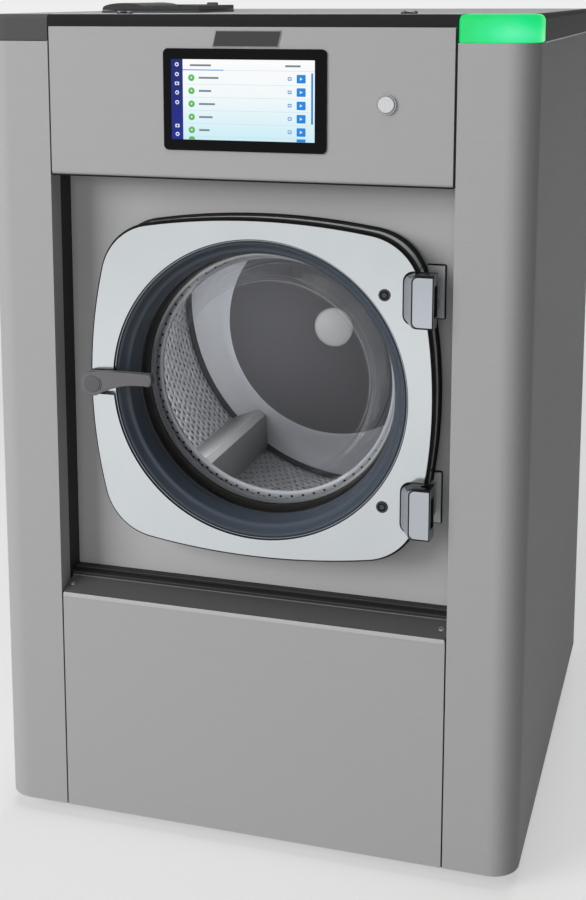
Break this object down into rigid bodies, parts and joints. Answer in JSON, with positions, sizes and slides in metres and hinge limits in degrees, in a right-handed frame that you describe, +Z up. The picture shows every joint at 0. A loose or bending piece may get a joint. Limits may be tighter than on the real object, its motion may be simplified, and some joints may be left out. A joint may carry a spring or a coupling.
{
  "type": "washer-extractor",
  "caption": "Front-loading commercial washer-extractor with a hinged glass door, lever handle, touch screen, push button, status light, detergent hopper and sprung tub.",
  "frame": {"origin": "on the floor, under the middle of the overall box", "axes": "+X to the right as seen from the front, +Y from the door to the back, +Z up"},
  "size_m": [0.884, 0.952, 1.3863],
  "materials": {
    "cabinet_grey": "satin",
    "cabinet_rear": "satin",
    "frame_paint": "satin",
    "trim_dark": "satin",
    "trim_cap": "satin",
    "trim_black": "matte",
    "sill_grey": "satin",
    "lens_green": "gloss",
    "screen_black": "gloss",
    "housing_black": "matte",
    "bezel_steel": "satin",
    "button_grey": "satin",
    "hopper_grey": "matte",
    "lid_grey": "matte",
    "door_bright": "polished",
    "ring_blue_grey": "satin",
    "door_glazing": "clear",
    "clamp_metal": "satin",
    "plug_dark": "matte",
    "hinge_chrome": "polished",
    "handle_grey": "satin",
    "boot_rubber": "matte",
    "stainless": "brushed",
    "stainless_bright": "satin",
    "iron_grey": "cast",
    "motor_grey": "painted",
    "belt_rubber": "matte",
    "hose_rubber": "matte",
    "spring_steel": "satin",
    "zinc": "satin",
    "brass": "satin",
    "drain_plastic": "matte",
    "inverter_metal": "matte"
  },
  "bodies": {
    "cabinet": {"base_frame": "frame_paint", "levelling_feet": "zinc", "upright_frame": "frame_paint", "side_panel_left": "cabinet_grey", "side_panel_right": "cabinet_grey", "rear_panel": "cabinet_rear", "top_panel": "cabinet_grey", "top_trim_front": "trim_dark", "top_trim_left": "trim_cap", "top_trim_right": "trim_dark", "status_lens": "lens_green", "panel_screws": "zinc", "control_panel": "cabinet_grey", "display_glass": "screen_black", "display_housing": "housing_black", "button_bezel": "bezel_steel", "door_panel": "cabinet_grey", "recess_trim": "trim_black", "sill": "sill_grey", "lower_panel": "cabinet_grey", "hopper_box": "hopper_grey", "lock_unit": "housing_black", "hinge_brackets": "zinc", "door_boot": "boot_rubber", "damper_cylinders": "iron_grey", "suspension_springs": "spring_steel", "tub_hoses": "hose_rubber", "drain_outlet": "drain_plastic", "water_inlets": "brass", "mains_gland": "housing_black", "inverter_box": "inverter_metal"},
    "button": {"button_cap": "button_grey"},
    "lid": {"hopper_lid": "lid_grey"},
    "door": {"door_frame": "door_bright", "door_ring": "ring_blue_grey", "door_glass": "door_glazing", "door_clamp_ring": "clamp_metal", "door_plugs": "plug_dark", "hinge_blocks": "hinge_chrome", "hinge_pins": "zinc"},
    "handle": {"door_handle": "handle_grey", "latch_spindle": "zinc"},
    "tub": {"tub_front": "stainless", "tub_shell": "stainless", "tub_back": "stainless", "bearing_housing": "iron_grey", "bearings": "zinc", "motor_housing": "motor_grey", "motor_bracket": "frame_paint", "drive_belt": "belt_rubber", "damper_rods": "zinc", "drain_valve": "drain_plastic", "heating_elements": "stainless"},
    "drum": {"drum_front": "stainless_bright", "drum_shell": "stainless_bright", "drum_back": "stainless_bright", "drum_lifters": "stainless_bright", "drum_shaft": "zinc", "drum_pulley": "iron_grey"},
    "rotor": {"motor_shaft_pulley": "zinc"}
  },
  "joints": [
    {"name": "door_swing", "type": "hinge", "parent": "cabinet", "child": "door", "pos_m": [0.287, -0.459, 0.781], "axis": [0, 0, 1], "range_deg": [0, 110]},
    {"name": "handle_turn", "type": "hinge", "parent": "door", "child": "handle", "pos_m": [-0.259, -0.45, 0.778], "axis": [0, 1, 0], "range_deg": [0, 45], "stiffness_Nm_per_rad": 0.8, "springref_deg": -20.05},
    {"name": "button_press", "type": "slide", "parent": "cabinet", "child": "button", "axis": [0, 1, 0], "range_m": [0, 0.003], "stiffness_N_per_m": 600, "springref_m": -0.002},
    {"name": "lid_hinge", "type": "hinge", "parent": "cabinet", "child": "lid", "pos_m": [-0.22, -0.108, 1.3803], "axis": [-1, 0, 0], "range_deg": [0, 100]},
    {"name": "tub_bounce", "type": "slide", "parent": "cabinet", "child": "tub", "axis": [0, 0, 1], "range_m": [-0.012, 0.012], "stiffness_N_per_m": 36000, "springref_m": 0.05958, "deforming": ["suspension_springs", "door_boot", "tub_hoses"]},
    {"name": "drum_spin", "type": "hinge", "parent": "tub", "child": "drum", "pos_m": [0.0145, 0, 0.781], "axis": [0, 1, 0], "continuous": true},
    {"name": "motor_spin", "type": "hinge", "parent": "tub", "child": "rotor", "pos_m": [-0.0955, 0, 0.201], "axis": [0, 1, 0], "continuous": true}
  ],
  "couplings": [
    {"joint": "motor_spin", "follows": "drum_spin", "ratio": 3.7778}
  ]
}
